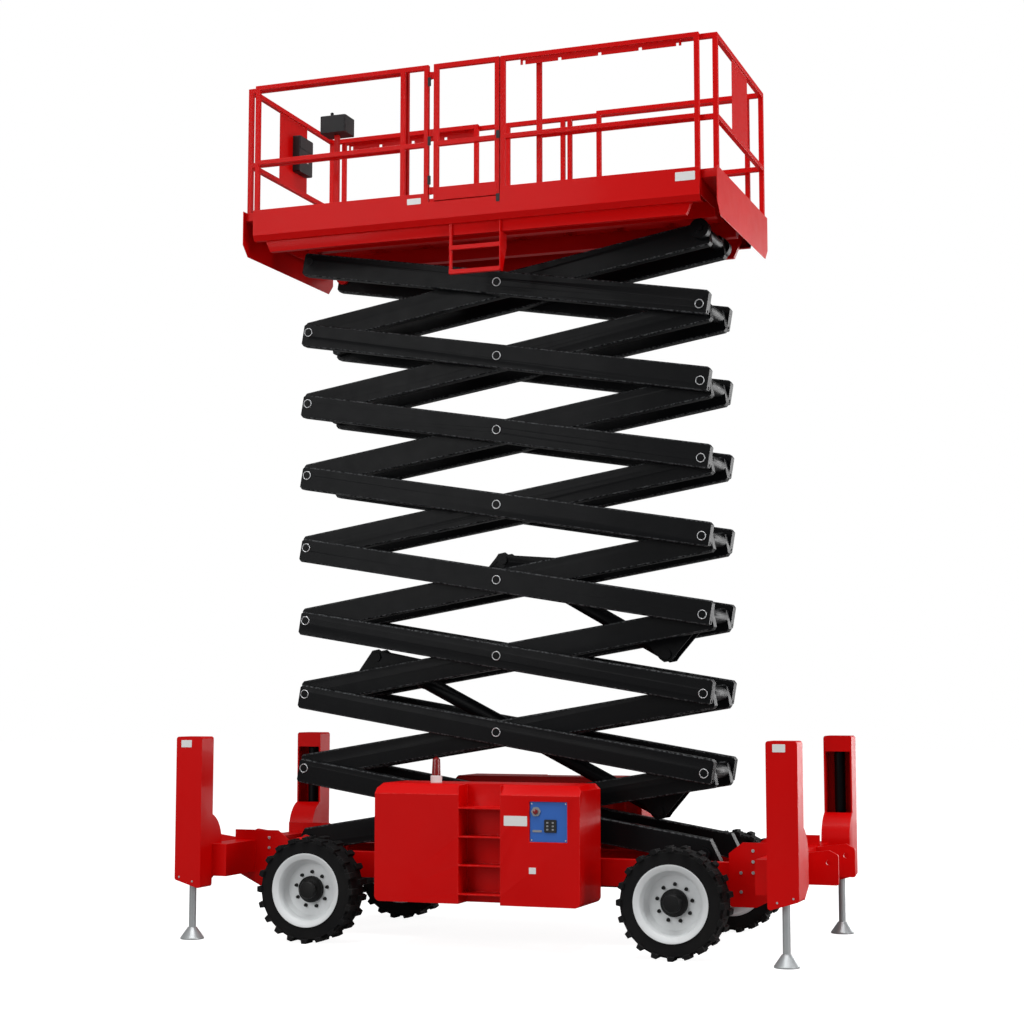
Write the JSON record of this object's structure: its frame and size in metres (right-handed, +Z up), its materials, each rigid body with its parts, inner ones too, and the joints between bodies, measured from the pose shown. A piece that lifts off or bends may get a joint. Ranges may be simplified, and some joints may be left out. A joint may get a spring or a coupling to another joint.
{
  "type": "rough-terrain scissor lift",
  "caption": "Rough-terrain scissor lift on four wheels with jack columns at its corners, raised scissor stack, railed platform and sliding deck extension.",
  "frame": {"origin": "middle of the machine's footprint, on the ground", "axes": "+X along the machine towards the steered axle, -Y the entry side, +Z up"},
  "size_m": [5.4, 2.395, 7.1582],
  "materials": {
    "black_paint": "satin",
    "blue_panel": "satin",
    "chrome": "polished",
    "dark_plastic": "matt",
    "lens_red": "gloss",
    "red_paint": "gloss",
    "steel": "satin",
    "tyre": "matt",
    "wheel_grey": "satin"
  },
  "bodies": {
    "chassis": {"chassis_frame": "red_paint", "chassis_floor": "red_paint", "rear_outriggers": "red_paint", "front_outriggers": "red_paint", "entry_compartment": "red_paint", "engine_compartment": "red_paint", "control_panel": "blue_panel", "beacon": "lens_red", "drive_axle": "steel", "steer_axle": "steel"},
    "platform": {"platform_deck": "red_paint", "guardrails": "red_paint", "drop_step": "red_paint"},
    "gate": {"entry_gate": "red_paint"},
    "extension": {"extension_deck": "red_paint", "extension_rails": "red_paint"},
    "rear_extension": {"rear_extension_deck": "red_paint", "rear_extension_rails": "red_paint", "control_stand": "red_paint", "control_box": "dark_plastic", "document_box": "dark_plastic"},
    "inner_arm_1": {"inner_arm_1": "black_paint"},
    "outer_arm_1": {"outer_arm_1": "black_paint"},
    "inner_arm_2": {"inner_arm_2": "black_paint"},
    "outer_arm_2": {"outer_arm_2": "black_paint"},
    "inner_arm_3": {"inner_arm_3": "black_paint"},
    "outer_arm_3": {"outer_arm_3": "black_paint"},
    "inner_arm_4": {"inner_arm_4": "black_paint"},
    "outer_arm_4": {"outer_arm_4": "black_paint"},
    "inner_arm_5": {"inner_arm_5": "black_paint"},
    "outer_arm_5": {"outer_arm_5": "black_paint"},
    "inner_arm_6": {"inner_arm_6": "black_paint"},
    "outer_arm_6": {"outer_arm_6": "black_paint"},
    "inner_arm_7": {"inner_arm_7": "black_paint"},
    "outer_arm_7": {"outer_arm_7": "black_paint"},
    "inner_arm_8": {"inner_arm_8": "black_paint"},
    "outer_arm_8": {"outer_arm_8": "black_paint"},
    "lower_barrel": {"lower_cylinder_barrel": "black_paint"},
    "lower_rod": {"lower_cylinder_rod": "chrome"},
    "upper_barrel": {"upper_cylinder_barrel": "black_paint"},
    "upper_rod": {"upper_cylinder_rod": "chrome"},
    "drive_right_wheel": {"drive_right_tyre": "tyre", "drive_right_wheel": "wheel_grey"},
    "drive_left_wheel": {"drive_left_tyre": "tyre", "drive_left_wheel": "wheel_grey"},
    "steer_right_wheel": {"steer_right_tyre": "tyre", "steer_right_wheel": "wheel_grey"},
    "steer_left_wheel": {"steer_left_tyre": "tyre", "steer_left_wheel": "wheel_grey"},
    "right_knuckle": {"right_knuckle": "steel"},
    "left_knuckle": {"left_knuckle": "steel"},
    "rear_right_jack": {"rear_right_jack": "chrome"},
    "rear_left_jack": {"rear_left_jack": "chrome"},
    "front_right_jack": {"front_right_jack": "chrome"},
    "front_left_jack": {"front_left_jack": "chrome"}
  },
  "joints": [
    {"name": "lift", "type": "hinge", "parent": "chassis", "child": "inner_arm_1", "pos_m": [-1.8035, 0, 0.74], "axis": [0, -1, 0], "range_deg": [-6.7, 20.8]},
    {"name": "centre_pin_1", "type": "hinge", "parent": "inner_arm_1", "child": "outer_arm_1", "pos_m": [-0.07011, 0, 1.05064], "axis": [0, -1, 0], "range_deg": [-41.6, 13.4]},
    {"name": "left_pin_1", "type": "hinge", "parent": "outer_arm_1", "child": "inner_arm_2", "pos_m": [-1.8035, 0, 1.36127], "axis": [0, -1, 0], "range_deg": [-13.4, 41.6]},
    {"name": "centre_pin_2", "type": "hinge", "parent": "inner_arm_2", "child": "outer_arm_2", "pos_m": [-0.07011, 0, 1.67191], "axis": [0, -1, 0], "range_deg": [-41.6, 13.4]},
    {"name": "left_pin_2", "type": "hinge", "parent": "outer_arm_2", "child": "inner_arm_3", "pos_m": [-1.8035, 0, 1.98255], "axis": [0, -1, 0], "range_deg": [-13.4, 41.6]},
    {"name": "centre_pin_3", "type": "hinge", "parent": "inner_arm_3", "child": "outer_arm_3", "pos_m": [-0.07011, 0, 2.29318], "axis": [0, -1, 0], "range_deg": [-41.6, 13.4]},
    {"name": "left_pin_3", "type": "hinge", "parent": "outer_arm_3", "child": "inner_arm_4", "pos_m": [-1.8035, 0, 2.60382], "axis": [0, -1, 0], "range_deg": [-13.4, 41.6]},
    {"name": "centre_pin_4", "type": "hinge", "parent": "inner_arm_4", "child": "outer_arm_4", "pos_m": [-0.07011, 0, 2.91445], "axis": [0, -1, 0], "range_deg": [-41.6, 13.4]},
    {"name": "left_pin_4", "type": "hinge", "parent": "outer_arm_4", "child": "inner_arm_5", "pos_m": [-1.8035, 0, 3.22509], "axis": [0, -1, 0], "range_deg": [-13.4, 41.6]},
    {"name": "centre_pin_5", "type": "hinge", "parent": "inner_arm_5", "child": "outer_arm_5", "pos_m": [-0.07011, 0, 3.53573], "axis": [0, -1, 0], "range_deg": [-41.6, 13.4]},
    {"name": "left_pin_5", "type": "hinge", "parent": "outer_arm_5", "child": "inner_arm_6", "pos_m": [-1.8035, 0, 3.84636], "axis": [0, -1, 0], "range_deg": [-13.4, 41.6]},
    {"name": "centre_pin_6", "type": "hinge", "parent": "inner_arm_6", "child": "outer_arm_6", "pos_m": [-0.07011, 0, 4.157], "axis": [0, -1, 0], "range_deg": [-41.6, 13.4]},
    {"name": "left_pin_6", "type": "hinge", "parent": "outer_arm_6", "child": "inner_arm_7", "pos_m": [-1.8035, 0, 4.46763], "axis": [0, -1, 0], "range_deg": [-13.4, 41.6]},
    {"name": "centre_pin_7", "type": "hinge", "parent": "inner_arm_7", "child": "outer_arm_7", "pos_m": [-0.07011, 0, 4.77827], "axis": [0, -1, 0], "range_deg": [-41.6, 13.4]},
    {"name": "left_pin_7", "type": "hinge", "parent": "outer_arm_7", "child": "inner_arm_8", "pos_m": [-1.8035, 0, 5.08891], "axis": [0, -1, 0], "range_deg": [-13.4, 41.6]},
    {"name": "centre_pin_8", "type": "hinge", "parent": "inner_arm_8", "child": "outer_arm_8", "pos_m": [-0.07011, 0, 5.39954], "axis": [0, -1, 0], "range_deg": [-41.6, 13.4]},
    {"name": "platform_pin", "type": "hinge", "parent": "outer_arm_8", "child": "platform", "pos_m": [-1.8035, 0, 5.71018], "axis": [0, -1, 0], "range_deg": [-6.7, 20.8]},
    {"name": "lower_barrel_pin", "type": "hinge", "parent": "inner_arm_1", "child": "lower_barrel", "pos_m": [1.2106, 0, 1.04141], "axis": [0, -1, 0], "range_deg": [-45.84, 15.11]},
    {"name": "lower_rod_slide", "type": "slide", "parent": "lower_barrel", "child": "lower_rod", "axis": [-0.8926, 0, 0.4509], "range_m": [-0.2529, 0.7746]},
    {"name": "upper_barrel_pin", "type": "hinge", "parent": "inner_arm_3", "child": "upper_barrel", "pos_m": [1.28059, 0, 2.30157], "axis": [0, -1, 0], "range_deg": [-39.81, 13.16]},
    {"name": "upper_rod_slide", "type": "slide", "parent": "upper_barrel", "child": "upper_rod", "axis": [-0.8703, 0, 0.4926], "range_m": [-0.1395, 0.4225]},
    {"name": "drive_right_spin", "type": "hinge", "parent": "chassis", "child": "drive_right_wheel", "pos_m": [-1.446, -0.95, 0.419], "axis": [0, 1, 0], "continuous": true},
    {"name": "right_steer", "type": "hinge", "parent": "chassis", "child": "right_knuckle", "pos_m": [1.572, -0.7, 0.419], "axis": [0, 0, 1], "range_deg": [-30, 30]},
    {"name": "steer_right_spin", "type": "hinge", "parent": "right_knuckle", "child": "steer_right_wheel", "pos_m": [1.572, -0.95, 0.419], "axis": [0, 1, 0], "continuous": true},
    {"name": "drive_left_spin", "type": "hinge", "parent": "chassis", "child": "drive_left_wheel", "pos_m": [-1.446, 0.95, 0.419], "axis": [0, 1, 0], "continuous": true},
    {"name": "left_steer", "type": "hinge", "parent": "chassis", "child": "left_knuckle", "pos_m": [1.572, 0.7, 0.419], "axis": [0, 0, 1], "range_deg": [-30, 30]},
    {"name": "steer_left_spin", "type": "hinge", "parent": "left_knuckle", "child": "steer_left_wheel", "pos_m": [1.572, 0.95, 0.419], "axis": [0, 1, 0], "continuous": true},
    {"name": "rear_right_jack_slide", "type": "slide", "parent": "chassis", "child": "rear_right_jack", "axis": [0, 0, 1], "range_m": [-0.1, 0.33]},
    {"name": "rear_left_jack_slide", "type": "slide", "parent": "chassis", "child": "rear_left_jack", "axis": [0, 0, 1], "range_m": [-0.1, 0.33]},
    {"name": "front_right_jack_slide", "type": "slide", "parent": "chassis", "child": "front_right_jack", "axis": [0, 0, 1], "range_m": [-0.1, 0.33]},
    {"name": "front_left_jack_slide", "type": "slide", "parent": "chassis", "child": "front_left_jack", "axis": [0, 0, 1], "range_m": [-0.1, 0.33]},
    {"name": "gate_swing", "type": "hinge", "parent": "platform", "child": "gate", "pos_m": [-0.4797, -0.858, 6.6], "axis": [0, 0, 1], "range_deg": [0, 90]},
    {"name": "extension_slide", "type": "slide", "parent": "platform", "child": "extension", "axis": [1, 0, 0], "range_m": [0, 1.2]},
    {"name": "rear_extension_slide", "type": "slide", "parent": "platform", "child": "rear_extension", "axis": [-1, 0, 0], "range_m": [0, 1]}
  ],
  "couplings": [
    {"joint": "centre_pin_1", "follows": "lift", "ratio": -2},
    {"joint": "left_pin_1", "follows": "lift", "ratio": 2},
    {"joint": "centre_pin_2", "follows": "lift", "ratio": -2},
    {"joint": "left_pin_2", "follows": "lift", "ratio": 2},
    {"joint": "centre_pin_3", "follows": "lift", "ratio": -2},
    {"joint": "left_pin_3", "follows": "lift", "ratio": 2},
    {"joint": "centre_pin_4", "follows": "lift", "ratio": -2},
    {"joint": "left_pin_4", "follows": "lift", "ratio": 2},
    {"joint": "centre_pin_5", "follows": "lift", "ratio": -2},
    {"joint": "left_pin_5", "follows": "lift", "ratio": 2},
    {"joint": "centre_pin_6", "follows": "lift", "ratio": -2},
    {"joint": "left_pin_6", "follows": "lift", "ratio": 2},
    {"joint": "centre_pin_7", "follows": "lift", "ratio": -2},
    {"joint": "left_pin_7", "follows": "lift", "ratio": 2},
    {"joint": "centre_pin_8", "follows": "lift", "ratio": -2},
    {"joint": "platform_pin", "follows": "lift", "ratio": 1},
    {"joint": "lower_barrel_pin", "follows": "lift", "ratio": -2.18},
    {"joint": "lower_rod_slide", "follows": "lift", "m_per_rad": 2.12},
    {"joint": "upper_barrel_pin", "follows": "lift", "ratio": -1.89},
    {"joint": "upper_rod_slide", "follows": "lift", "m_per_rad": 1.15},
    {"joint": "left_steer", "follows": "right_steer", "ratio": 1}
  ]
}
